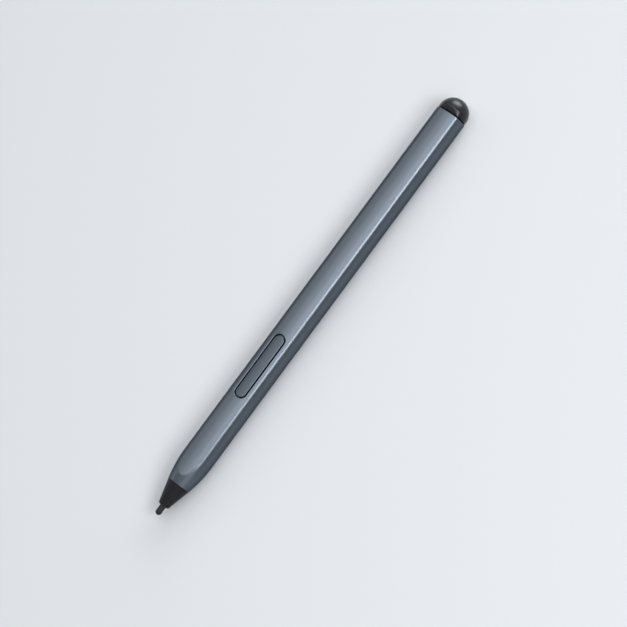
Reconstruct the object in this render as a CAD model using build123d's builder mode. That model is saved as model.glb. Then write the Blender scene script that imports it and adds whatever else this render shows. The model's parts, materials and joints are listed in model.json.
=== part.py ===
"""Stylus pen: a battery-free pen with a side button and a rounded eraser end.

The pen lies along X on its round back, nib towards -X, with the crowned facet and its button up.
Lengths are in millimetres and angles in degrees. Stations run along the pen's axis, counted from
the end of the nib.
"""
import os
from math import sqrt

from build123d import *

os.makedirs("parts", exist_ok=True)

# Overall form
overall_length = 146.8
barrel_diameter = 9.5
barrel_wall = 0.9
facet_depth = 0.55
facet_width = 6.1
crease_fillet = 1.8
barrel_edge = 0.2

# Nose
nib_exposed = 3.1
cone_length = 7.3
tip_wall = 0.6
cone_edge = 0.15
taper_length = 9.5
taper_drop = 1.18
front_edge = 0.12
spigot_length = 4.0
socket_relief = 0.5

# Nib and its travel
nib_diameter = 1.85
nib_head = 6.0
stem_diameter = 1.4
nib_grip = 2.6
nib_travel = 0.4

# Pointing coil
cushion_thickness = 1.0
core_length = 14.0
winding_recess = 0.05
bobbin_inset = 2.0
bobbin_wall = 0.25
flange_thickness = 0.5
flange_step = 0.125
lead_diameter = 0.25

# Pressure cell
housing_length = 9.5
housing_clearance = 0.3
holder_wall = 0.45
holder_length = 4.1
holder_setback = 0.4
holder_flange = 0.7
holder_lip = 0.2
pad_solid = 0.6
pad_diameter = 2.4
pad_tip_diameter = 1.6
capacitor_thickness = 1.2
capacitor_lip = 0.4
terminal_width = 0.5
terminal_thickness = 0.15
terminal_spread = 1.6
terminal_overlap = 2.0
terminal_drop = 0.6

# Chassis and board
chassis_clearance = 0.2
chassis_wall = 1.0
board_setback = 3.5
board_thickness = 0.8
rail_overlap = 0.4
board_corner = 0.8
rib_count = 4
rib_thickness = 1.2
peg_diameter = 1.0
peg_height = 0.3
chip_size = 3.0
chip_height = 0.8
chip_gap = 2.0
tuner_count = 4
tuner_length = 1.6
tuner_width = 0.8
tuner_height = 0.6
tuner_pitch = 2.4

# Side button and its switch
button_setback = 0.85
button_length = 21.2
button_width = 3.3
button_gap = 0.28
button_recess = 0.06
button_edge = 0.3
pocket_edge = 0.2
button_lip = 0.45
lip_thickness = 0.5
lip_clearance = 0.08
button_travel = 0.3
switch_length = 3.2
switch_width = 2.8
switch_height = 0.8
switch_gap = 0.28
switch_floor = 0.1
plunger_diameter = 1.2

# Magnets
magnet_count = 2
magnet_length = 8.0
magnet_width = 3.6
magnet_thickness = 1.2
magnet_gap = 1.0

# Eraser end
dome_skirt = 0.95
dome_inset = 0.13
dome_crease = 1.2
dome_facet_rise = 20
dome_flattening = 0.32
shoulder_drop = 1.42
dome_socket_depth = 2.0
eraser_travel = 0.25
travel_margin = 0.1
collar_length = 7.6
collar_recess = 0.2
collar_wall = 0.4
spring_seat_depth = 3.6
spring_wire = 0.35
spring_wire_sides = 5
spring_clearance = 0.325
spring_turns = 3
clip_thickness = 0.5
clip_overhang = 0.8
clip_groove = 0.4
clip_opening = 2.6
clip_play = 0.1
eraser_bay = 9.0
eraser_bobbin_gap = 1.15
eraser_sensor_thickness = 1.0

# Clearances shared by several pieces
fit = 0.05
slide_fit = 0.12
run_clearance = 0.3

# Sections worked out from the sizes above
barrel_radius = barrel_diameter / 2
crest = barrel_radius - facet_depth
crease_half = facet_width / 2
crease_height = sqrt(barrel_radius**2 - crease_half**2)
crease_rise = crest - crease_height
crown_radius = (crease_half**2 + crease_rise**2) / (2 * crease_rise)
crown_centre = crest - crown_radius
bore_radius = barrel_radius - barrel_wall
bore_crest = crest - barrel_wall
stack_radius = bore_crest - housing_clearance
bore_crown = crown_radius - barrel_wall
cone_base = barrel_radius - taper_drop
socket_radius = cone_base - barrel_wall
spigot_radius = socket_radius - fit
nib_radius = nib_diameter / 2
nib_bore = nib_radius + slide_fit
cone_tip = nib_bore + tip_wall
dome_radius = barrel_radius - dome_inset
dome_height = dome_radius - dome_flattening
dome_shoulder = dome_radius - shoulder_drop

# Stations along the axis
barrel_front = nib_exposed + cone_length
taper_end = barrel_front + taper_length
spigot_end = barrel_front + spigot_length
core_front = spigot_end + cushion_thickness
core_rear = core_front + core_length
housing_rear = core_rear + housing_length
pad_thickness = nib_travel + pad_solid
holder_front = core_rear + holder_setback
holder_rear = holder_front + holder_length
capacitor_front = holder_rear + pad_thickness
capacitor_rear = capacitor_front + capacitor_thickness
nib_end = holder_front + nib_grip
tail_gap = eraser_travel + travel_margin
dome_front = overall_length - dome_height - dome_skirt
barrel_rear = dome_front - tail_gap
collar_rear = barrel_rear - collar_recess
collar_front = collar_rear - collar_length
clip_rear = collar_front - clip_play
clip_front = clip_rear - clip_thickness
rod_front = clip_front - clip_thickness
chassis_front = housing_rear
chassis_rear = collar_front - eraser_bay
magnet_bay = magnet_count * (magnet_length + magnet_gap) + magnet_gap
board_front = chassis_front + board_setback
board_rear = chassis_rear - magnet_bay
board_length = board_rear - board_front
slot_width = button_width + 2 * button_gap
slot_length = button_length + 2 * button_gap
lip_width = slot_width + 2 * button_lip
lip_length = slot_length + 2 * button_lip
button_station = housing_rear + button_setback + lip_length / 2
chip_station = button_station + switch_length / 2 + chip_gap + chip_size / 2
tuner_row = (tuner_count - 1) * tuner_pitch + tuner_width
tuner_station = chip_station + chip_size / 2 + chip_gap + tuner_row / 2


def bore_height(half_width):
    """The height above the axis of the bore's crowned roof at a distance from its middle."""
    return crown_centre + sqrt(bore_crown**2 - half_width**2)


# Heights above the axis
lip_top = bore_height(lip_width / 2) - lip_clearance
lip_bottom = lip_top - lip_thickness
board_top = lip_bottom - button_travel - switch_gap - switch_height
board_seat = board_top - board_thickness
board_middle = board_top - board_thickness / 2
magnet_seat = bore_height(magnet_width / 2) - run_clearance - magnet_thickness

# Sizes of the coils, the rails and the wires
flange_radius = stack_radius - flange_step
stem_bore = stem_diameter / 2 + slide_fit
core_wall = (flange_radius - bobbin_wall - fit - stem_bore) / 2
core_radius = stem_bore + core_wall
chassis_radius = bore_radius - chassis_clearance
channel_radius = chassis_radius - chassis_wall
board_width = 2 * (channel_radius + rail_overlap)
lead_offset = sqrt((flange_radius - lead_diameter) ** 2 - board_middle**2)
cradle_width = 2 * (lead_offset - lead_diameter / 2 - run_clearance)

# Sizes of the pressure cell, from the nib's stem outwards
holder_bore = stem_diameter / 2 + fit
holder_radius = holder_bore + holder_wall
holder_flange_radius = holder_radius + holder_lip
capacitor_radius = holder_flange_radius + slide_fit
cell_bore = capacitor_radius + fit

# Sizes of the tail's mechanism, from the bore inwards
spring_bore = bore_crest - fit - collar_wall
spring_radius = spring_bore - spring_wire
rod_radius = spring_radius - spring_wire / 2 - spring_clearance

# The pen's axis lies one barrel radius above the surface that the pen rests on
pen_axis = Axis((0, 0, barrel_radius), (1, 0, 0))


def along(station, height=0.0):
    """The point at a station and a height above the axis."""
    return (station - overall_length / 2, 0, barrel_radius + height)


def section_at(station):
    """The plane across the pen at a station, with local x along Y and local y up."""
    return Plane(origin=along(station), x_dir=(0, 1, 0), z_dir=(1, 0, 0))


def level_at(station, height):
    """The level plane at a height above the axis, centred on a station."""
    return Plane(origin=along(station, height), x_dir=(1, 0, 0), z_dir=(0, 0, 1))


def facet_section(inset):
    """The barrel's cross-section drawn in by an inset: a circle cut by the crowned facet."""
    with BuildSketch() as section:
        Circle(barrel_radius - inset)
        with Locations((0, crown_centre)):
            Circle(crown_radius - inset, mode=Mode.INTERSECT)
    return section.sketch


def below_board(outline):
    """The part of a section that lies below the board's seat."""
    with BuildSketch() as section:
        add(outline)
        with Locations((0, board_seat)):
            Rectangle(
                barrel_diameter,
                barrel_diameter,
                align=(Align.CENTER, Align.MIN),
                mode=Mode.SUBTRACT,
            )
    return section.sketch


def disc(radius):
    """A plain round section."""
    with BuildSketch() as section:
        Circle(radius)
    return section.sketch


def crown_limit(inset):
    """The round outline of the facet's crown alone, drawn in by an inset."""
    with BuildSketch() as limit:
        with Locations((0, crown_centre)):
            Circle(crown_radius - inset)
    return limit.sketch


def facet_creases(piece):
    """The edges along which a piece's crowned facet meets its round sides."""
    along_facet = piece.edges().filter_by(GeomType.CIRCLE, reverse=True)
    return along_facet.filter_by(lambda edge: edge.center().Z > barrel_radius + crease_height / 2)


# The half-profile planes below and above the axis: local x is the station, local y the radius
profile_plane = Plane(origin=along(0), x_dir=(1, 0, 0), z_dir=(0, 1, 0))
upper_profile_plane = Plane(origin=along(0), x_dir=(1, 0, 0), z_dir=(0, -1, 0))

# Hollow of the barrel: a socket for the nose, a taper and a long bore with its own facet
with BuildPart() as hollow:
    with BuildSketch(profile_plane):
        with BuildLine():
            Polyline(
                (barrel_front, 0),
                (barrel_front, socket_radius),
                (spigot_end + socket_relief, socket_radius),
                (taper_end, bore_radius),
                (barrel_rear, bore_radius),
                (barrel_rear, 0),
                close=True,
            )
        make_face()
    revolve(axis=pen_axis)
    with BuildSketch(section_at(barrel_front)):
        add(crown_limit(barrel_wall))
    extrude(amount=barrel_rear - barrel_front, mode=Mode.INTERSECT)

# Barrel: a round tube with a tapering nose, on which the crowned facet runs out in a tongue
with BuildPart() as barrel:
    with BuildSketch(upper_profile_plane):
        with BuildLine():
            Polyline(
                (barrel_front, cone_base),
                (barrel_front, 0),
                (barrel_rear, 0),
                (barrel_rear, barrel_radius),
                (taper_end, barrel_radius),
            )
            TangentArc((taper_end, barrel_radius), (barrel_front, cone_base), tangent=(-1, 0))
        make_face()
    revolve(axis=pen_axis)
    with BuildSketch(section_at(barrel_front)):
        add(crown_limit(0))
    extrude(amount=barrel_rear - barrel_front, mode=Mode.INTERSECT)
    fillet(facet_creases(barrel), radius=crease_fillet)
    chamfer(barrel.faces().sort_by(Axis.X)[-1].outer_wire().edges(), length=barrel_edge)
    chamfer(barrel.faces().sort_by(Axis.X)[0].outer_wire().edges(), length=front_edge)
    add(hollow.part, mode=Mode.SUBTRACT)
    with BuildSketch(level_at(button_station, 0)):
        SlotOverall(slot_length, slot_width)
    extrude(amount=barrel_radius, mode=Mode.SUBTRACT)
    rim = barrel.edges(Select.LAST).filter_by(lambda edge: edge.center().Z > barrel_radius + bore_crest)
    rim = rim.filter_by(lambda edge: edge.bounding_box().size.Z < barrel_wall / 2)
    fillet(rim, radius=pocket_edge)
barrel.part.label = "barrel"
export_step(barrel.part, "parts/barrel.step")

# Nose cone: the black tip, with a spigot that plugs into the barrel's socket
with BuildPart() as nose_cone:
    with BuildSketch(profile_plane):
        with BuildLine():
            Polyline(
                (nib_exposed, nib_bore),
                (nib_exposed, cone_tip),
                (barrel_front, cone_base),
                (barrel_front, spigot_radius),
                (spigot_end, spigot_radius),
                (spigot_end, nib_bore),
                close=True,
            )
        make_face()
    revolve(axis=pen_axis)
    tip_rim = nose_cone.faces().sort_by(Axis.X)[0].outer_wire().edges()
    chamfer(tip_rim, length=cone_edge)
nose_cone.part.label = "nose_cone"
export_step(nose_cone.part, "parts/nose_cone.step")

# Nib: a round-ended rod on a thinner stem that reaches back into its holder
with BuildPart() as nib:
    with BuildSketch(profile_plane):
        with BuildLine():
            CenterArc((nib_radius, 0), nib_radius, start_angle=90, arc_size=90)
            Polyline(
                (nib_radius, nib_radius),
                (nib_head, nib_radius),
                (nib_head, stem_diameter / 2),
                (nib_end, stem_diameter / 2),
                (nib_end, 0),
                (0, 0),
            )
        make_face()
    revolve(axis=pen_axis)
nib.part.label = "nib"
export_step(nib.part, "parts/nib.step")

# Nib holder: the cup that grips the stem, with the flange that the pressure cell keeps in
with BuildPart() as nib_holder:
    with BuildSketch(section_at(holder_front)):
        Circle(holder_radius)
    extrude(amount=holder_length)
    with BuildSketch(section_at(holder_rear - holder_flange)):
        Circle(holder_flange_radius)
    extrude(amount=holder_flange)
    with BuildSketch(section_at(holder_front)):
        Circle(holder_bore)
    extrude(amount=nib_grip + fit, mode=Mode.SUBTRACT)
nib_holder.part.label = "nib_holder"
export_step(nib_holder.part, "parts/nib_holder.step")

# Core cushion: the soft ring between the nose's spigot and the core
with BuildPart() as core_cushion:
    with BuildSketch(section_at(spigot_end)):
        Circle(spigot_radius)
        Circle(stem_bore, mode=Mode.SUBTRACT)
    extrude(amount=cushion_thickness)
core_cushion.part.label = "core_cushion"
export_step(core_cushion.part, "parts/core_cushion.step")

# Ferrite core: the rod that the stem passes through
with BuildPart() as ferrite_core:
    with BuildSketch(section_at(core_front)):
        Circle(core_radius)
        Circle(stem_bore, mode=Mode.SUBTRACT)
    extrude(amount=core_length)
ferrite_core.part.label = "ferrite_core"
export_step(ferrite_core.part, "parts/ferrite_core.step")


def bobbin_profile(front, rear, bore, flange):
    """The half-profile of a bobbin: a thin sleeve between two flanges."""
    with BuildSketch() as profile:
        with BuildLine():
            Polyline(
                (front, bore),
                (front, flange),
                (front + flange_thickness, flange),
                (front + flange_thickness, bore + bobbin_wall),
                (rear - flange_thickness, bore + bobbin_wall),
                (rear - flange_thickness, flange),
                (rear, flange),
                (rear, bore),
                close=True,
            )
        make_face()
    return profile.sketch


# Coil bobbin: the flanged sleeve on the core
bobbin_front = core_front + bobbin_inset
bobbin_rear = core_rear - bobbin_inset
with BuildPart() as coil_bobbin:
    with BuildSketch(profile_plane):
        add(bobbin_profile(bobbin_front, bobbin_rear, core_radius + fit, flange_radius))
    revolve(axis=pen_axis)
coil_bobbin.part.label = "coil_bobbin"
export_step(coil_bobbin.part, "parts/coil_bobbin.step")

# Antenna coil: the winding between the bobbin's flanges
with BuildPart() as antenna_coil:
    with BuildSketch(section_at(bobbin_front + flange_thickness)):
        Circle(flange_radius - winding_recess)
        Circle(core_radius + 2 * fit + bobbin_wall, mode=Mode.SUBTRACT)
    extrude(amount=bobbin_rear - bobbin_front - 2 * flange_thickness)
antenna_coil.part.label = "antenna_coil"
export_step(antenna_coil.part, "parts/antenna_coil.step")

# Coil leads: two wires from the bobbin back to the board's front edge
with BuildPart() as coil_leads:
    with BuildSketch(section_at(bobbin_rear)):
        with Locations((-lead_offset, board_middle), (lead_offset, board_middle)):
            Circle(lead_diameter / 2)
    extrude(amount=board_front - bobbin_rear)
coil_leads.part.label = "coil_leads"
export_step(coil_leads.part, "parts/coil_leads.step")

# Pressure cell housing: guides the holder in front and seats the capacitor behind
holder_shoulder = holder_rear - holder_flange - fit
groove_depth = stack_radius - lead_offset + lead_diameter
terminal_top = board_top + terminal_thickness
with BuildPart() as sensor_housing:
    with BuildSketch(profile_plane):
        with BuildLine():
            Polyline(
                (core_rear, holder_radius + slide_fit),
                (core_rear, stack_radius),
                (housing_rear, stack_radius),
                (housing_rear, capacitor_radius - capacitor_lip),
                (capacitor_rear, capacitor_radius - capacitor_lip),
                (capacitor_rear, cell_bore),
                (holder_shoulder, cell_bore),
                (holder_shoulder, holder_radius + slide_fit),
                close=True,
            )
        make_face()
    revolve(axis=pen_axis)
    with BuildSketch(section_at(core_rear)):
        with Locations((-stack_radius, board_middle), (stack_radius, board_middle)):
            Rectangle(2 * groove_depth, 2 * lead_diameter)
    extrude(amount=housing_length, mode=Mode.SUBTRACT)
    with BuildSketch(section_at(capacitor_rear)):
        with Locations((0, (terminal_top - terminal_drop) / 2)):
            Rectangle(
                terminal_spread + terminal_width + 2 * fit,
                terminal_top + terminal_drop + 2 * fit,
            )
    extrude(amount=housing_rear - capacitor_rear, mode=Mode.SUBTRACT)
sensor_housing.part.label = "sensor_housing"
export_step(sensor_housing.part, "parts/sensor_housing.step")

# Pressure pad: the soft cone that the holder squeezes against the capacitor
with BuildPart() as pressure_pad:
    with BuildSketch(section_at(holder_rear)):
        Circle(pad_tip_diameter / 2)
    with BuildSketch(section_at(capacitor_front)):
        Circle(pad_diameter / 2)
    loft()
pressure_pad.part.label = "pressure_pad"
export_step(pressure_pad.part, "parts/pressure_pad.step")

# Sensor capacitor: the ceramic disc that reads the nib's pressure
with BuildPart() as sensor_capacitor:
    with BuildSketch(section_at(capacitor_front)):
        Circle(capacitor_radius)
    extrude(amount=capacitor_thickness)
sensor_capacitor.part.label = "sensor_capacitor"
export_step(sensor_capacitor.part, "parts/sensor_capacitor.step")

# Sensor terminals: two strips, bent down over the disc's back, that run onto the board
terminal_reach = board_front + terminal_overlap - capacitor_rear
terminal_at = [(-terminal_spread / 2, terminal_top), (terminal_spread / 2, terminal_top)]
with BuildPart() as sensor_terminals:
    with BuildSketch(section_at(capacitor_rear)):
        with Locations(*terminal_at):
            Rectangle(terminal_width, terminal_thickness, align=(Align.CENTER, Align.MAX))
    extrude(amount=terminal_reach)
    with BuildSketch(section_at(capacitor_rear)):
        with Locations(*terminal_at):
            Rectangle(terminal_width, terminal_top + terminal_drop, align=(Align.CENTER, Align.MAX))
    extrude(amount=terminal_thickness)
sensor_terminals.part.label = "sensor_terminals"
export_step(sensor_terminals.part, "parts/sensor_terminals.step")

# Chassis: a trough with rails for the board, cross ribs with pegs, and a cradle for the magnets
rib_margin = terminal_overlap + peg_diameter
rib_pitch = (board_length - 2 * rib_margin) / (rib_count - 1)
rib_stations = [board_front + rib_margin + index * rib_pitch for index in range(rib_count)]
peg_stations = [rib_stations[0], rib_stations[-1]]
with BuildPart() as chassis:
    with BuildSketch(section_at(chassis_front)):
        add(below_board(facet_section(barrel_wall + chassis_clearance)))
    extrude(amount=chassis_rear - chassis_front)
    with BuildSketch(section_at(chassis_front)):
        Circle(channel_radius)
    extrude(amount=board_rear - chassis_front, mode=Mode.SUBTRACT)
    for rib_station in rib_stations:
        with BuildSketch(section_at(rib_station - rib_thickness / 2)):
            add(below_board(disc(channel_radius)))
        extrude(amount=rib_thickness)
    for peg_station in peg_stations:
        with BuildSketch(level_at(peg_station, board_seat)):
            Circle(peg_diameter / 2)
        extrude(amount=board_thickness + peg_height)
    with BuildSketch(level_at(board_rear, board_seat)):
        Rectangle(magnet_bay, cradle_width, align=(Align.MIN, Align.CENTER))
    extrude(amount=magnet_seat - board_seat)
chassis.part.label = "chassis"
export_step(chassis.part, "parts/chassis.step")

# Circuit board: on the rails, over the pegs
with BuildPart() as circuit_board:
    with BuildSketch(level_at((board_front + board_rear) / 2, board_seat)):
        RectangleRounded(board_length, board_width, board_corner)
    extrude(amount=board_thickness)
    for peg_station in peg_stations:
        with BuildSketch(level_at(peg_station, board_seat)):
            Circle(peg_diameter / 2 + fit)
        extrude(amount=board_thickness, mode=Mode.SUBTRACT)
circuit_board.part.label = "circuit_board"
export_step(circuit_board.part, "parts/circuit_board.step")

# Controller chip, behind the switch
with BuildPart() as controller_chip:
    with BuildSketch(level_at(chip_station, board_top)):
        Rectangle(chip_size, chip_size)
    extrude(amount=chip_height)
controller_chip.part.label = "controller_chip"
export_step(controller_chip.part, "parts/controller_chip.step")

# Tuning capacitors: a row of chips that set the coil's pitch
with BuildPart() as tuning_capacitors:
    with BuildSketch(level_at(tuner_station, board_top)):
        with GridLocations(tuner_pitch, 0, tuner_count, 1):
            Rectangle(tuner_width, tuner_length)
    extrude(amount=tuner_height)
tuning_capacitors.part.label = "tuning_capacitors"
export_step(tuning_capacitors.part, "parts/tuning_capacitors.step")

# Side switch: the key on the board, with a well for its plunger
plunger_foot = board_top + switch_floor + button_travel + fit
with BuildPart() as side_switch:
    with BuildSketch(level_at(button_station, board_top)):
        Rectangle(switch_length, switch_width)
    extrude(amount=switch_height)
    with BuildSketch(level_at(button_station, board_top + switch_floor)):
        Circle(plunger_diameter / 2 + slide_fit)
    extrude(amount=switch_height, mode=Mode.SUBTRACT)
side_switch.part.label = "side_switch"
export_step(side_switch.part, "parts/side_switch.step")

# Switch plunger: stands in the well, under the button's lip
with BuildPart() as switch_plunger:
    with BuildSketch(level_at(button_station, plunger_foot)):
        Circle(plunger_diameter / 2)
    extrude(amount=lip_bottom - plunger_foot)
switch_plunger.part.label = "switch_plunger"
export_step(switch_plunger.part, "parts/switch_plunger.step")

# Side button: a pill with the facet's crown, on a wider lip that the barrel keeps in
with BuildPart() as side_button:
    with BuildSketch(level_at(button_station, lip_bottom)):
        SlotOverall(button_length, button_width)
    extrude(amount=barrel_radius)
    with BuildSketch(section_at(button_station - button_length / 2)):
        add(crown_limit(button_recess))
    extrude(amount=button_length, mode=Mode.INTERSECT)
    crown_face = side_button.faces().sort_by(Axis.Z)[-1]
    fillet(crown_face.outer_wire().edges(), radius=button_edge)
    with BuildSketch(level_at(button_station, lip_bottom)):
        SlotOverall(lip_length, lip_width)
    extrude(amount=lip_thickness)
side_button.part.label = "side_button"
export_step(side_button.part, "parts/side_button.step")

# Magnets: two bars under the facet that hold the pen to a tablet's edge
magnet_pitch = magnet_length + magnet_gap
with BuildPart() as magnets:
    with BuildSketch(level_at((board_rear + chassis_rear) / 2, magnet_seat)):
        with GridLocations(magnet_pitch, 0, magnet_count, 1):
            Rectangle(magnet_length, magnet_width)
    extrude(amount=magnet_thickness)
magnets.part.label = "magnets"
export_step(magnets.part, "parts/magnets.step")

# Tail collar: the faceted plug that guides the eraser's rod and seats its spring
spring_seat = collar_rear - spring_seat_depth
with BuildPart() as tail_collar:
    with BuildSketch(section_at(collar_front)):
        add(facet_section(barrel_wall + fit))
        Circle(rod_radius + slide_fit, mode=Mode.SUBTRACT)
    extrude(amount=collar_length)
    with BuildSketch(section_at(spring_seat)):
        Circle(spring_bore)
    extrude(amount=spring_seat_depth, mode=Mode.SUBTRACT)
tail_collar.part.label = "tail_collar"
export_step(tail_collar.part, "parts/tail_collar.step")

# Eraser dome: the black rounded end, whose base carries the facet on
dome_base = dome_front + dome_skirt
cap_rise = dome_height - dome_shoulder
cap_radius = (dome_height**2 + shoulder_drop**2 - dome_shoulder**2) / (2 * cap_rise)
cap_centre = Vector(overall_length - cap_radius, 0)
shoulder_centre = Vector(dome_base, shoulder_drop)
shoulder_end = cap_centre + (shoulder_centre - cap_centre).normalized() * cap_radius
with BuildPart() as eraser_dome:
    with BuildSketch(profile_plane):
        with BuildLine():
            Polyline(
                (overall_length, 0),
                (dome_front, 0),
                (dome_front, dome_radius),
                (dome_base, dome_radius),
            )
            shoulder = TangentArc((dome_base, dome_radius), shoulder_end, tangent=(1, 0))
            TangentArc(shoulder @ 1, (overall_length, 0), tangent=shoulder % 1)
        make_face()
    revolve(axis=pen_axis)
    with BuildSketch(section_at(dome_front)):
        add(crown_limit(dome_inset))
    extrude(amount=dome_skirt + dome_height, taper=-dome_facet_rise, mode=Mode.INTERSECT)
    fillet(facet_creases(eraser_dome), radius=dome_crease)
    with BuildSketch(section_at(dome_front)):
        Circle(rod_radius + fit)
    extrude(amount=dome_socket_depth, mode=Mode.SUBTRACT)
eraser_dome.part.label = "eraser_dome"
export_step(eraser_dome.part, "parts/eraser_dome.step")

# Eraser rod: plugs into the dome, slides in the collar and is grooved for its clip
groove_radius = rod_radius - clip_groove
with BuildPart() as eraser_rod:
    with BuildSketch(section_at(rod_front)):
        Circle(rod_radius)
    extrude(amount=dome_front + dome_socket_depth - fit - rod_front)
    with BuildSketch(section_at(clip_front)):
        Circle(rod_radius)
        Circle(groove_radius, mode=Mode.SUBTRACT)
    extrude(amount=clip_thickness, mode=Mode.SUBTRACT)
eraser_rod.part.label = "eraser_rod"
export_step(eraser_rod.part, "parts/eraser_rod.step")

# Eraser clip: the open ring in the groove that stops the rod from coming out
with BuildPart() as eraser_clip:
    with BuildSketch(section_at(clip_front)):
        Circle(rod_radius + clip_overhang)
        Circle(groove_radius + fit, mode=Mode.SUBTRACT)
        Rectangle(clip_opening, barrel_radius, align=(Align.CENTER, Align.MIN), mode=Mode.SUBTRACT)
    extrude(amount=clip_thickness)
eraser_clip.part.label = "eraser_clip"
export_step(eraser_clip.part, "parts/eraser_clip.step")

# Eraser spring: a coil from the collar's seat to the dome
spring_height = dome_front - spring_seat - spring_wire - 2 * fit
with BuildPart() as eraser_spring:
    with BuildLine() as coil_path:
        Helix(
            pitch=spring_height / spring_turns,
            height=spring_height,
            radius=spring_radius,
            center=along(spring_seat + spring_wire / 2 + fit),
            direction=(1, 0, 0),
        )
    with BuildSketch(Plane(origin=coil_path.line @ 0, z_dir=coil_path.line % 0)):
        RegularPolygon(spring_wire / 2, spring_wire_sides)
    sweep(path=coil_path.line, is_frenet=True)
eraser_spring.part.label = "eraser_spring"
export_step(eraser_spring.part, "parts/eraser_spring.step")

# Eraser core: the ferrite rod on the end of the eraser's rod
core_tip = chassis_rear + eraser_sensor_thickness + eraser_travel + travel_margin
eraser_core_radius = (flange_radius - bobbin_wall - run_clearance) / 2
with BuildPart() as eraser_core:
    with BuildSketch(section_at(core_tip)):
        Circle(eraser_core_radius)
    extrude(amount=rod_front - core_tip)
eraser_core.part.label = "eraser_core"
export_step(eraser_core.part, "parts/eraser_core.step")

# Eraser bobbin and coil, round the core, on the chassis's rear end
eraser_bore = eraser_core_radius + run_clearance
eraser_bobbin_rear = rod_front - eraser_travel - eraser_bobbin_gap
with BuildPart() as eraser_bobbin:
    with BuildSketch(profile_plane):
        add(bobbin_profile(chassis_rear, eraser_bobbin_rear, eraser_bore, flange_radius))
    revolve(axis=pen_axis)
eraser_bobbin.part.label = "eraser_bobbin"
export_step(eraser_bobbin.part, "parts/eraser_bobbin.step")

with BuildPart() as eraser_coil:
    with BuildSketch(section_at(chassis_rear + flange_thickness)):
        Circle(flange_radius - winding_recess)
        Circle(eraser_bore + bobbin_wall + fit, mode=Mode.SUBTRACT)
    extrude(amount=eraser_bobbin_rear - chassis_rear - 2 * flange_thickness)
eraser_coil.part.label = "eraser_coil"
export_step(eraser_coil.part, "parts/eraser_coil.step")

# Eraser sensor: the disc in the bobbin's front that the core closes on
with BuildPart() as eraser_sensor:
    with BuildSketch(section_at(chassis_rear)):
        Circle(eraser_bore - fit)
    extrude(amount=eraser_sensor_thickness)
eraser_sensor.part.label = "eraser_sensor"
export_step(eraser_sensor.part, "parts/eraser_sensor.step")

# Eraser leads: two wires from the bobbin forward to the board's rear edge
with BuildPart() as eraser_leads:
    with BuildSketch(section_at(board_rear)):
        with Locations((-lead_offset, board_middle), (lead_offset, board_middle)):
            Circle(lead_diameter / 2)
    extrude(amount=chassis_rear - board_rear)
eraser_leads.part.label = "eraser_leads"
export_step(eraser_leads.part, "parts/eraser_leads.step")
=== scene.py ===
import json
import math

import bmesh
import bpy
from mathutils import Matrix, Vector


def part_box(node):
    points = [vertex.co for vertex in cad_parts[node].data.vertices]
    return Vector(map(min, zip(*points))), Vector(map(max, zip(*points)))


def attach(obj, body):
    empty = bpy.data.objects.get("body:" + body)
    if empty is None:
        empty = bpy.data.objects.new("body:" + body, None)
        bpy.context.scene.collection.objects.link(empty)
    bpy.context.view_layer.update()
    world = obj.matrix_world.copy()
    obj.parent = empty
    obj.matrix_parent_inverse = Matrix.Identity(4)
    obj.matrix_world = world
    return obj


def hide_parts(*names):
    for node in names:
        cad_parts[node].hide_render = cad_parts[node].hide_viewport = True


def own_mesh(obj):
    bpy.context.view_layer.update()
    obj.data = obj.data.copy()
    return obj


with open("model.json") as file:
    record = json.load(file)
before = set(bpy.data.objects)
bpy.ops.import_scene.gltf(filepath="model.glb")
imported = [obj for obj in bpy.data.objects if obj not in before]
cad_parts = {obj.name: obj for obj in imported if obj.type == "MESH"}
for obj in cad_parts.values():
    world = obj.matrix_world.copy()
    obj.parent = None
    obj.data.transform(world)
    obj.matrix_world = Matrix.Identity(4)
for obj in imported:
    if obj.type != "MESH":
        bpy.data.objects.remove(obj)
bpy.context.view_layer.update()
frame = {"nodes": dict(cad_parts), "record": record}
nodes = frame["nodes"]

# Lengths are in metres, angles in degrees
mm = 0.001
axis_height = frame["record"]["mounts"][0]["pos_m"][2]
along_the_pen = (1, 0, 0)
across_the_pen = (0, 1, 0)

# Soft and wound pieces
pad_tip_radius = 0.8 * mm
spring_wire = 0.35 * mm
spring_turns = 3
winding_wire = 0.25 * mm
cushion_corner = 0.25 * mm
pad_shoulder_corner = 0.3 * mm
pad_foot_corner = 0.15 * mm
corner_steps = 5
ring_sides = 64
wire_sides = 8
steps_per_turn = 32
weld_distance = 0.001 * mm

# Camera: the photograph sees the pen from over its facet, turned to one side and rolled
camera_distance = 570 * mm
camera_lens = 114.82
camera_lean = 2.644
camera_spin = 22.0
camera_roll = 36.454
camera_aim_right = 0.844 * mm
camera_aim_up = -2.039 * mm
camera_clip_start = 10 * mm

# Light: an overhead bank that fades away from the camera, a strip that draws the crease, a
# gridded lamp beyond the domed end and two lamps beside the nose
lamp_distance = 1.0
bank_near_edge = 21
bank_steps = {-2: 1.42, -30: 0.74, -66: 0.69}
bank_length = 0.84
bank_shift = 0.13
strip_turn = 42
strip_shift = 0.15
strip_width = 0.42
strip_length = 0.5
strip_radiance = 8.7
tail_lamp_towards = (0.95, 0.12, 0.25)
tail_lamp_width = 0.88
tail_lamp_height = 0.68
tail_lamp_radiance = 9.6
tail_lamp_distance = 2.2
tail_lamp_spread = 70
near_nose_towards = (-0.45, -0.72, 0.5)
near_nose_width = 0.9
near_nose_radiance = 0.7
far_nose_towards = (-0.38, 0.85, 0.3)
far_nose_width = 0.55
far_nose_radiance = 0.55
nose_lamp_length = 0.45

# Backdrop and floor: the light that the backdrop gives, and how bright it is seen
world_light = 0.06
world_seen = 0.45
world_seen_aslant = 0.88
backdrop_colour = (0.9, 0.95, 1, 1)
floor_size = 6.0
floor_colour = (0.64, 0.665, 0.69)
floor_bounce = 0.3
fade_start = 0.6
fade_end = 2.4


# Shader helpers


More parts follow.
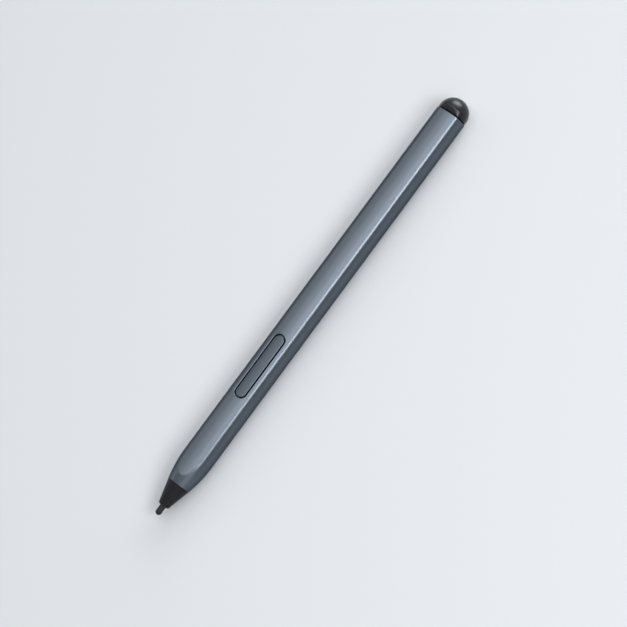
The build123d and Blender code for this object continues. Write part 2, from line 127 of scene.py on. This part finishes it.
def new_material(name, values):
    """A material whose shader has these constant values on its own sockets."""
    made = bpy.data.materials.new(name)
    made.use_nodes = True
    shader = made.node_tree.nodes["Principled BSDF"]
    for socket, value in values.items():
        shader.inputs[socket].default_value = value
    return made


def add_node(made, kind, values=None):
    node = made.node_tree.nodes.new(kind)
    for socket, value in (values or {}).items():
        node.inputs[socket].default_value = value
    return node


def link(made, output, target):
    made.node_tree.links.new(output, target)


def shader_input(made, socket):
    return made.node_tree.nodes["Principled BSDF"].inputs[socket]


def place(made):
    """Where a point is on the piece, in the frame's own metres."""
    return add_node(made, "ShaderNodeTexCoord").outputs["Object"]


def noise(made, feature, detail=3, stretch=(1, 1, 1)):
    """Soft random variation from 0 to 1 whose features have this size."""
    mapping = add_node(made, "ShaderNodeMapping", {"Scale": stretch})
    link(made, place(made), mapping.inputs["Vector"])
    texture = add_node(made, "ShaderNodeTexNoise", {"Scale": 1 / feature, "Detail": detail})
    link(made, mapping.outputs["Vector"], texture.inputs["Vector"])
    return texture.outputs["Fac"]


def flakes(made, feature):
    """One random value from 0 to 1 for each flake of this size."""
    texture = add_node(made, "ShaderNodeTexVoronoi", {"Scale": 1 / feature})
    link(made, place(made), texture.inputs["Vector"])
    parts = add_node(made, "ShaderNodeSeparateColor")
    link(made, texture.outputs["Color"], parts.inputs["Color"])
    return parts.outputs["Red"]


def along_pen(made, start, end):
    """Rises from 0 to 1 between two stations along the pen."""
    parts = add_node(made, "ShaderNodeSeparateXYZ")
    link(made, place(made), parts.inputs["Vector"])
    span = add_node(made, "ShaderNodeMapRange", {"From Min": start, "From Max": end})
    link(made, parts.outputs["X"], span.inputs["Value"])
    return span.outputs["Result"]


def vary(made, amount, socket, low, high):
    """One of the shader's numbers goes from low to high with amount."""
    span = add_node(made, "ShaderNodeMapRange", {"To Min": low, "To Max": high})
    link(made, amount, span.inputs["Value"])
    link(made, span.outputs["Result"], shader_input(made, socket))


def tint(made, amount, low, high):
    """The shader's colour goes from low to high with amount."""
    mix = made.node_tree.nodes.new("ShaderNodeMix")
    mix.data_type = "RGBA"
    mix.inputs["A"].default_value = (*low, 1)
    mix.inputs["B"].default_value = (*high, 1)
    link(made, amount, mix.inputs["Factor"])
    link(made, mix.outputs["Result"], shader_input(made, "Base Color"))


def grain(made, height, depth, strength):
    """The surface rises and falls by depth with height."""
    bump = add_node(made, "ShaderNodeBump", {"Distance": depth, "Strength": strength})
    link(made, height, bump.inputs["Height"])
    link(made, bump.outputs["Normal"], shader_input(made, "Normal"))


def shades(colour, spread):
    """A darker and a lighter shade of one colour."""
    return [c * (1 - spread) for c in colour], [c * (1 + spread) for c in colour]


# Materials


def lacquer(name, colour, roughness):
    """Satin metallic lacquer: fine dark flakes, dull at a low angle, in a faintly uneven surface."""
    made = new_material(name, {"Metallic": 1.0, "Specular Tint": (0.4, 0.4, 0.4, 1)})
    tint(made, flakes(made, 0.07 * mm), *shades(colour, 0.12))
    vary(made, noise(made, 0.5 * mm), "Roughness", roughness - 0.03, roughness + 0.03)
    grain(made, noise(made, 0.3 * mm), 0.004 * mm, 0.3)
    return made


def textured_plastic(name, colour, roughness, feature=0.1 * mm, depth=0.01 * mm):
    """A moulding with the fine matt texture of an eroded tool."""
    made = new_material(name, {"IOR": 1.48, "Specular IOR Level": 0.22})
    tint(made, noise(made, 2 * mm), *shades(colour, 0.1))
    vary(made, noise(made, feature), "Roughness", roughness - 0.06, roughness + 0.06)
    grain(made, noise(made, feature), depth, 0.6)
    return made


def nib_plastic():
    """Smooth hard plastic, worn brighter where it writes."""
    made = new_material("nib_black", {"IOR": 1.48, "Specular IOR Level": 0.25})
    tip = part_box("nib")[0].x
    tint(made, noise(made, 0.4 * mm), (0.009, 0.009, 0.011), (0.014, 0.014, 0.016))
    vary(made, along_pen(made, tip, tip + 1.5 * mm), "Roughness", 0.26, 0.42)
    grain(made, noise(made, 0.15 * mm, stretch=(0.3, 1, 1)), 0.004 * mm, 0.3)
    return made


def gloss_plastic(name, colour, roughness):
    """A polished moulding with faint handling marks."""
    made = new_material(name, {"IOR": 1.5, "Specular IOR Level": 0.38})
    tint(made, noise(made, 3 * mm), *shades(colour, 0.15))
    vary(made, noise(made, 0.6 * mm, detail=6), "Roughness", roughness - 0.04, roughness + 0.04)
    grain(made, noise(made, 0.8 * mm), 0.002 * mm, 0.2)
    return made


def silicone():
    made = new_material("silicone", {"IOR": 1.41, "Subsurface Weight": 0.2, "Subsurface Scale": 0.4 * mm})
    tint(made, noise(made, 0.7 * mm), (0.31, 0.31, 0.32), (0.39, 0.39, 0.4))
    vary(made, noise(made, 0.1 * mm), "Roughness", 0.5, 0.65)
    return made


def sintered(name, colour, roughness):
    """Pressed and fired powder, slightly pitted."""
    made = new_material(name, {"IOR": 1.7})
    tint(made, noise(made, 0.2 * mm, detail=6), *shades(colour, 0.3))
    vary(made, noise(made, 0.1 * mm), "Roughness", roughness - 0.08, roughness + 0.08)
    grain(made, noise(made, 0.08 * mm, detail=6), 0.006 * mm, 0.5)
    return made


def metal(name, colour, roughness, stretch=(1, 1, 1), coat=0.0):
    """Bare or enamelled metal, with drawing marks along its stretch."""
    made = new_material(name, {"Metallic": 1.0, "Coat Weight": coat})
    marks = noise(made, 0.12 * mm, detail=5, stretch=stretch)
    tint(made, marks, *shades(colour, 0.08))
    vary(made, marks, "Roughness", roughness - 0.06, roughness + 0.06)
    return made


def laminate():
    """Solder mask over woven glass."""
    made = new_material("board_laminate", {"IOR": 1.55, "Coat Weight": 0.4})
    across = noise(made, 0.25 * mm, stretch=(0.2, 1, 1))
    lengthwise = noise(made, 0.25 * mm, stretch=(1, 0.2, 1))
    tint(made, across, (0.015, 0.13, 0.055), (0.025, 0.19, 0.085))
    vary(made, lengthwise, "Roughness", 0.3, 0.45)
    grain(made, across, 0.005 * mm, 0.3)
    return made


materials = {
    "barrel_lacquer": lacquer("barrel_lacquer", (0.108, 0.125, 0.147), 0.33),
    "button_lacquer": lacquer("button_lacquer", (0.071, 0.083, 0.098), 0.33),
    "nose_black": textured_plastic("nose_black", (0.007, 0.007, 0.008), 0.45),
    "nib_black": nib_plastic(),
    "dome_black": gloss_plastic("dome_black", (0.005, 0.005, 0.006), 0.27),
    "inner_plastic": textured_plastic("inner_plastic", (0.08, 0.08, 0.085), 0.5),
    "silicone": silicone(),
    "ferrite": sintered("ferrite", (0.05, 0.05, 0.055), 0.55),
    "copper": metal("copper", (0.72, 0.33, 0.16), 0.3, coat=0.6),
    "ceramic": sintered("ceramic", (0.55, 0.45, 0.33), 0.35),
    "terminal_brass": metal("terminal_brass", (0.78, 0.6, 0.28), 0.28, stretch=(0.1, 1, 1)),
    "board_laminate": laminate(),
    "chip_resin": textured_plastic("chip_resin", (0.03, 0.03, 0.03), 0.6, feature=0.06 * mm),
    "magnet_plating": metal("magnet_plating", (0.75, 0.74, 0.7), 0.22),
    "spring_steel": metal("spring_steel", (0.6, 0.6, 0.6), 0.25),
}


def dress():
    """Every piece of the frame takes the material of its slot in the record."""
    for part in frame["record"]["subparts"]:
        node = nodes[part["node"]]
        node.data.materials.clear()
        node.data.materials.append(materials[part["material_slot"]])


dress()


# Soft and wound pieces: silicone with rounded edges, and turns of wire


def reach(node):
    """Least and greatest distance of a piece from the pen's axis."""
    distances = [math.hypot(v.co.y, v.co.z - axis_height) for v in nodes[node].data.vertices]
    return min(distances), max(distances)


def ends(node):
    """Where a piece starts and ends along the pen."""
    low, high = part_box(node)
    return low.x, high.x


def round_axis(x, radius, angle):
    return Vector((x, radius * math.cos(angle), axis_height + radius * math.sin(angle)))


def softened(start, corner, end, size):
    """The points of a rounded corner between two neighbours, each a station and a radius."""
    start, corner, end = Vector(start), Vector(corner), Vector(end)
    first = corner + (start - corner).normalized() * size
    last = corner + (end - corner).normalized() * size
    spans = [step / corner_steps for step in range(corner_steps + 1)]
    return [first.lerp(corner, t).lerp(corner.lerp(last, t), t) for t in spans]


def rounded_loop(corners, size):
    """A closed outline with every corner rounded."""
    count = len(corners)
    loop = []
    for i in range(count):
        loop += softened(corners[i - 1], corners[i], corners[(i + 1) % count], size)
    return loop


def finish_piece(name, builder, node, slot):
    """Puts a new piece in place of its node, on the barrel, in the slot's material."""
    bmesh.ops.remove_doubles(builder, verts=builder.verts, dist=weld_distance)
    bmesh.ops.recalc_face_normals(builder, faces=builder.faces)
    mesh = bpy.data.meshes.new(name)
    builder.to_mesh(mesh)
    builder.free()
    mesh.shade_smooth()
    mesh.materials.append(materials[slot])
    piece = bpy.data.objects.new(name, mesh)
    bpy.context.scene.collection.objects.link(piece)
    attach(piece, "barrel")
    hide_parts(node)
    return piece


def bridge(builder, rings, closed):
    """Faces between rings of vertices, and from the last ring back to the first if closed."""
    pairs = list(zip(rings, rings[1:]))
    if closed:
        pairs.append((rings[-1], rings[0]))
    for one, other in pairs:
        for i in range(len(one)):
            builder.faces.new((one[i - 1], one[i], other[i], other[i - 1]))


def turned_ring(name, node, outline):
    """A silicone ring or plug: an outline of stations and radii turned about the pen's axis."""
    builder = bmesh.new()
    angles = [2 * math.pi * i / ring_sides for i in range(ring_sides)]
    rings = [[builder.verts.new(round_axis(x, r, a)) for a in angles] for x, r in outline]
    bridge(builder, rings, closed=True)
    piece = finish_piece(name, builder, node, "silicone")
    return piece


def wound_wire(name, node, slot, wire, turns):
    """Turns of round wire that fill the place of a node from end to end."""
    start, end = ends(node)
    radius = reach(node)[1] - wire / 2
    girth = 2 * math.pi * radius
    pitch = (end - start - wire) / turns
    side_angles = [2 * math.pi * side / wire_sides for side in range(wire_sides)]
    builder = bmesh.new()
    rings = []
    for step in range(round(turns * steps_per_turn) + 1):
        angle = 2 * math.pi * step / steps_per_turn
        middle = round_axis(start + wire / 2 + pitch * step / steps_per_turn, radius, angle)
        outwards = Vector((0, math.cos(angle), math.sin(angle)))
        forwards = Vector((pitch, -girth * math.sin(angle), girth * math.cos(angle)))
        across = forwards.normalized().cross(outwards)
        offsets = [(outwards * math.cos(a) + across * math.sin(a)) * wire / 2 for a in side_angles]
        rings.append([builder.verts.new(middle + offset) for offset in offsets])
    bridge(builder, rings, closed=False)
    builder.faces.new(rings[0])
    builder.faces.new(rings[-1])
    return finish_piece(name, builder, node, slot)


def make_cushion():
    front, rear = ends("core_cushion")
    inner, outer = reach("core_cushion")
    corners = [(front, inner), (front, outer), (rear, outer), (rear, inner)]
    turned_ring("cushion_ring", "core_cushion", rounded_loop(corners, cushion_corner))


def make_pad():
    """The pressure pad: a cone with a round shoulder and a round foot."""
    front, rear = ends("pressure_pad")
    axis_front, shoulder = (front, 0), (front, pad_tip_radius)
    edge, axis_rear = (rear, reach("pressure_pad")[1]), (rear, 0)
    outline = [axis_front]
    outline += softened(axis_front, shoulder, edge, pad_shoulder_corner)
    outline += softened(shoulder, edge, axis_rear, pad_foot_corner)
    outline += [axis_rear]
    return turned_ring("pad_cone", "pressure_pad", outline)


def squeeze(piece, node):
    """A piece gets its own copy of its mesh if its node gives way to a joint."""
    for joint in frame["record"]["behaviour"]["joints"]:
        for soft in joint.get("deforming_nodes", []):
            if soft["node"] == node:
                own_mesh(piece)


make_cushion()
squeeze(make_pad(), "pressure_pad")
spring = wound_wire("return_spring", "eraser_spring", "spring_steel", spring_wire, spring_turns)
squeeze(spring, "eraser_spring")
for node in ("antenna_coil", "eraser_coil"):
    start, end = ends(node)
    wound_wire(f"{node}_turns", node, "copper", winding_wire, round((end - start) / winding_wire) - 1)


# Stage: floor, lights, world and camera


def combine(made, operation, first, second):
    """One value worked out from the values of two outputs."""
    node = add_node(made, "ShaderNodeMath")
    node.operation = operation
    link(made, first, node.inputs[0])
    link(made, second, node.inputs[1])
    return node.outputs["Value"]


def rays_that_see(made):
    """1 for the rays that show a thing as it is, and 0 for those that only carry its light on."""
    path = add_node(made, "ShaderNodeLightPath")
    seen = path.outputs["Is Camera Ray"]
    for ray in ("Is Glossy Ray", "Is Transmission Ray"):
        seen = combine(made, "MAXIMUM", seen, path.outputs[ray])
    return seen


def backdrop_strength(made):
    """How bright the backdrop is seen in a direction: palest aslant of the pen.

    The direction's share along the pen times its share across it is greatest, a quarter, halfway
    between the two, and its square fades faster to both sides.
    """
    greatest = (1 / 4) ** 2
    direction = add_node(made, "ShaderNodeVectorMath")
    direction.operation = "NORMALIZE"
    link(made, place(made), direction.inputs["Vector"])
    parts = add_node(made, "ShaderNodeSeparateXYZ")
    link(made, direction.outputs["Vector"], parts.inputs["Vector"])
    along = combine(made, "MULTIPLY", parts.outputs["X"], parts.outputs["X"])
    across = add_node(made, "ShaderNodeMapRange", {"To Min": 1, "To Max": 0})
    link(made, along, across.inputs["Value"])
    both = combine(made, "MULTIPLY", along, across.outputs["Result"])
    aslant = combine(made, "MULTIPLY", both, both)
    span = {"From Max": greatest, "To Min": world_seen, "To Max": world_seen_aslant}
    strength = add_node(made, "ShaderNodeMapRange", span)
    link(made, aslant, strength.inputs["Value"])
    return strength.outputs["Result"]


def floor_paper():
    """Pale paper that throws little light back on the pen and fades into the backdrop far away."""
    paper = new_material("floor_paper", {"IOR": 1.3, "Roughness": 0.9, "Emission Color": backdrop_colour})
    seen = rays_that_see(paper)
    tint(paper, seen, [c * floor_bounce for c in floor_colour], floor_colour)
    distance = add_node(paper, "ShaderNodeVectorMath")
    distance.operation = "LENGTH"
    link(paper, place(paper), distance.inputs["Vector"])
    far = add_node(paper, "ShaderNodeMapRange", {"From Min": fade_start, "From Max": fade_end})
    link(paper, distance.outputs["Value"], far.inputs["Value"])
    glow = combine(paper, "MULTIPLY", far.outputs["Result"], backdrop_strength(paper))
    link(paper, combine(paper, "MULTIPLY", seen, glow), shader_input(paper, "Emission Strength"))
    return paper


def make_floor():
    mesh = bpy.data.meshes.new("floor")
    half = floor_size / 2
    corners = [(-half, -half, 0), (half, -half, 0), (half, half, 0), (-half, half, 0)]
    mesh.from_pydata(corners, [], [(0, 1, 2, 3)])
    floor = bpy.data.objects.new("floor", mesh)
    bpy.context.scene.collection.objects.link(floor)
    mesh.materials.append(floor_paper())


def overhead(turn, shift):
    """A direction over the pen, turned about its axis to the camera's side and shifted along it."""
    angle = math.radians(turn)
    return Vector((shift, -math.sin(angle), math.cos(angle)))


def make_softbox(
    name, towards, long_side, width, length, radiance, distance=lamp_distance, spread=180
):
    """A soft lamp in a direction from the pen, facing it, with its long side along a given line.

    Its width and length are those that it would have at a metre from the pen, and a grid on it can
    narrow the spread of its light.
    """
    lamp = bpy.data.lights.new(name, "AREA")
    lamp.shape = "RECTANGLE"
    lamp.size = width * distance
    lamp.size_y = length * distance
    lamp.spread = math.radians(spread)
    half_spread = lamp.spread / 2
    share_let_through = 1 - half_spread / math.tan(half_spread)
    lamp.energy = radiance * math.pi * lamp.size * lamp.size_y * share_let_through
    outwards = Vector(towards).normalized()
    lengthwise = (Vector(long_side) - outwards * outwards.dot(Vector(long_side))).normalized()
    turned = Matrix((lengthwise.cross(outwards), lengthwise, outwards)).transposed()
    holder = bpy.data.objects.new(name, lamp)
    holder.matrix_world = Matrix.Translation(outwards * distance) @ turned.to_4x4()
    holder.visible_camera = False
    bpy.context.scene.collection.objects.link(holder)


def make_bank():
    """Softboxes with one edge in common, each reaching further, so that the bank fades in steps."""
    for far_edge, radiance in bank_steps.items():
        towards = overhead((bank_near_edge + far_edge) / 2, bank_shift)
        width = 2 * math.tan(math.radians(bank_near_edge - far_edge) / 2)
        make_softbox(f"bank_{-far_edge}", towards, along_the_pen, width, bank_length, radiance)


def make_world():
    """A dim even light that shows as a pale backdrop, also in reflections."""
    world = bpy.data.worlds.new("studio")
    bpy.context.scene.world = world
    world.use_nodes = True
    background = world.node_tree.nodes["Background"]
    background.inputs["Color"].default_value = backdrop_colour
    strength = add_node(world, "ShaderNodeMapRange", {"To Min": world_light})
    link(world, rays_that_see(world), strength.inputs["Value"])
    link(world, backdrop_strength(world), strength.inputs["To Max"])
    link(world, strength.outputs["Result"], background.inputs["Strength"])


def make_camera():
    lean, spin, roll = (math.radians(a) for a in (camera_lean, camera_spin, camera_roll))
    back = Vector((
        -math.sin(lean),
        -math.cos(lean) * math.sin(spin),
        math.cos(lean) * math.cos(spin),
    ))
    along = Vector(along_the_pen)
    pen_up = (along - back * along.dot(back)).normalized()
    pen_right = pen_up.cross(back)
    up = pen_up * math.cos(roll) - pen_right * math.sin(roll)
    right = pen_right * math.cos(roll) + pen_up * math.sin(roll)
    target = Vector((0, 0, axis_height)) + right * camera_aim_right + up * camera_aim_up
    data = bpy.data.cameras.new("camera")
    data.lens = camera_lens
    data.clip_start = camera_clip_start
    camera = bpy.data.objects.new("camera", data)
    turned = Matrix((right, up, back)).transposed()
    camera.matrix_world = Matrix.Translation(target + back * camera_distance) @ turned.to_4x4()
    bpy.context.scene.collection.objects.link(camera)
    bpy.context.scene.camera = camera


make_floor()
make_bank()
make_softbox(
    "strip", overhead(strip_turn, strip_shift), along_the_pen,
    strip_width, strip_length, strip_radiance,
)
make_softbox(
    "tail_lamp", tail_lamp_towards, across_the_pen,
    tail_lamp_height, tail_lamp_width, tail_lamp_radiance,
    tail_lamp_distance, tail_lamp_spread,
)
make_softbox(
    "near_nose", near_nose_towards, along_the_pen,
    near_nose_width, nose_lamp_length, near_nose_radiance,
)
make_softbox(
    "far_nose", far_nose_towards, along_the_pen,
    far_nose_width, nose_lamp_length, far_nose_radiance,
)
make_world()
make_camera()
bpy.context.scene.view_settings.view_transform = "Standard"
